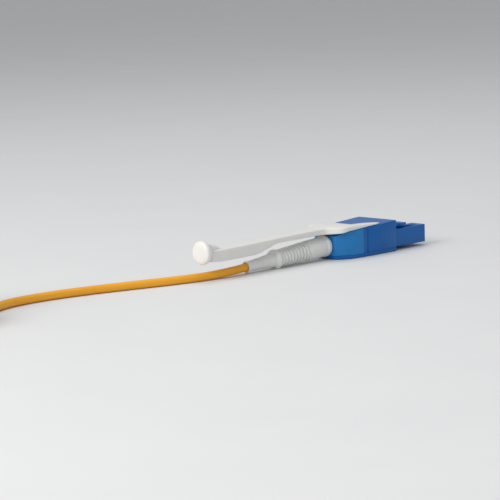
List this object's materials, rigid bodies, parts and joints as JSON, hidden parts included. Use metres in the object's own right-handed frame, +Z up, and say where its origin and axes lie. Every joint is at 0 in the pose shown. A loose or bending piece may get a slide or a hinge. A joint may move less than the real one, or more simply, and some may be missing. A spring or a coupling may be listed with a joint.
{
  "type": "fibre optic patch cord",
  "caption": "Duplex fibre optic patch cord with push-pull-tab uniboot plugs, ribbed boots and a thin round cable wound into a tied coil.",
  "frame": {"origin": "under the middle of the near connector, on the plane its housing lies on", "axes": "+Y is the way the near connector is pushed in, +Z is up from the housing's underside, +X is across the two ferrules"},
  "size_m": [0.0288, 0.2132, 0.018],
  "materials": {
    "shell_blue": "moulded, satin",
    "tab_white": "moulded, satin",
    "boot_white": "soft moulded, satin",
    "nose_grey": "moulded, satin",
    "zirconia": "polished ceramic",
    "nickel": "satin plated",
    "spring_steel": "drawn wire",
    "post_metal": "satin plated",
    "buffer_yellow": "smooth",
    "jacket_yellow": "satin, extruded",
    "tie_black": "woven hook and loop"
  },
  "bodies": {
    "cord_body": {"near_housing_base": "shell_blue", "near_housing_cover": "shell_blue", "near_crimp_post": "post_metal", "near_crimp_sleeve": "post_metal", "near_boot": "boot_white", "near_jacket_end": "jacket_yellow", "near_plug_body_left": "nose_grey", "near_plug_body_right": "nose_grey", "near_spring_push_left": "post_metal", "near_spring_push_right": "post_metal", "near_fibre_left": "buffer_yellow", "near_fibre_right": "buffer_yellow", "near_spring_left": "spring_steel", "near_spring_right": "spring_steel", "far_housing_base": "shell_blue", "far_housing_cover": "shell_blue", "far_crimp_post": "post_metal", "far_crimp_sleeve": "post_metal", "far_boot": "boot_white", "far_jacket_end": "jacket_yellow", "far_plug_body_left": "nose_grey", "far_plug_body_right": "nose_grey", "far_spring_push_left": "post_metal", "far_spring_push_right": "post_metal", "far_fibre_left": "buffer_yellow", "far_fibre_right": "buffer_yellow", "far_spring_left": "spring_steel", "far_spring_right": "spring_steel", "cord_run": "jacket_yellow", "cord_tail": "jacket_yellow", "cord_coil": "jacket_yellow", "coil_tie": "tie_black"},
    "near_tab": {"near_pull_tab": "tab_white", "near_latch_slider": "tab_white"},
    "near_latch_left_body": {"near_latch_left": "nose_grey"},
    "near_ferrule_left_body": {"near_ferrule_left": "zirconia", "near_ferrule_flange_left": "nickel"},
    "near_latch_right_body": {"near_latch_right": "nose_grey"},
    "near_ferrule_right_body": {"near_ferrule_right": "zirconia", "near_ferrule_flange_right": "nickel"},
    "far_tab": {"far_pull_tab": "tab_white", "far_latch_slider": "tab_white"},
    "far_latch_left_body": {"far_latch_left": "nose_grey"},
    "far_ferrule_left_body": {"far_ferrule_left": "zirconia", "far_ferrule_flange_left": "nickel"},
    "far_latch_right_body": {"far_latch_right": "nose_grey"},
    "far_ferrule_right_body": {"far_ferrule_right": "zirconia", "far_ferrule_flange_right": "nickel"}
  },
  "joints": [
    {"name": "near_tab_pull", "type": "slide", "parent": "cord_body", "child": "near_tab", "axis": [0, -1, 0], "range_m": [0, 0.002], "stiffness_N_per_m": 400},
    {"name": "near_latch_left_dip", "type": "hinge", "parent": "cord_body", "child": "near_latch_left_body", "pos_m": [-0.00313, 0.035, 0.00508], "axis": [1, 0, 0], "range_deg": [0, 4]},
    {"name": "near_ferrule_left_float", "type": "slide", "parent": "cord_body", "child": "near_ferrule_left_body", "axis": [0, -1, 0], "range_m": [0, 0.001], "stiffness_N_per_m": 900, "springref_m": -0.0055, "deforming": ["near_spring_left"]},
    {"name": "near_latch_right_dip", "type": "hinge", "parent": "cord_body", "child": "near_latch_right_body", "pos_m": [0.00313, 0.035, 0.00508], "axis": [1, 0, 0], "range_deg": [0, 4]},
    {"name": "near_ferrule_right_float", "type": "slide", "parent": "cord_body", "child": "near_ferrule_right_body", "axis": [0, -1, 0], "range_m": [0, 0.001], "stiffness_N_per_m": 900, "springref_m": -0.0055, "deforming": ["near_spring_right"]},
    {"name": "far_tab_pull", "type": "slide", "parent": "cord_body", "child": "far_tab", "axis": [0, -1, 0], "range_m": [0, 0.002], "stiffness_N_per_m": 400},
    {"name": "far_latch_left_dip", "type": "hinge", "parent": "cord_body", "child": "far_latch_left_body", "pos_m": [-0.01943, -0.0975, 0.01308], "axis": [1, 0, 0], "range_deg": [0, 4]},
    {"name": "far_ferrule_left_float", "type": "slide", "parent": "cord_body", "child": "far_ferrule_left_body", "axis": [0, -1, 0], "range_m": [0, 0.001], "stiffness_N_per_m": 900, "springref_m": -0.0055, "deforming": ["far_spring_left"]},
    {"name": "far_latch_right_dip", "type": "hinge", "parent": "cord_body", "child": "far_latch_right_body", "pos_m": [-0.01317, -0.0975, 0.01308], "axis": [1, 0, 0], "range_deg": [0, 4]},
    {"name": "far_ferrule_right_float", "type": "slide", "parent": "cord_body", "child": "far_ferrule_right_body", "axis": [0, -1, 0], "range_m": [0, 0.001], "stiffness_N_per_m": 900, "springref_m": -0.0055, "deforming": ["far_spring_right"]}
  ],
  "couplings": [
    {"joint": "near_latch_left_dip", "follows": "near_tab_pull", "rad_per_m": 34.9},
    {"joint": "near_latch_right_dip", "follows": "near_tab_pull", "rad_per_m": 34.9},
    {"joint": "far_latch_left_dip", "follows": "far_tab_pull", "rad_per_m": 34.9},
    {"joint": "far_latch_right_dip", "follows": "far_tab_pull", "rad_per_m": 34.9}
  ]
}
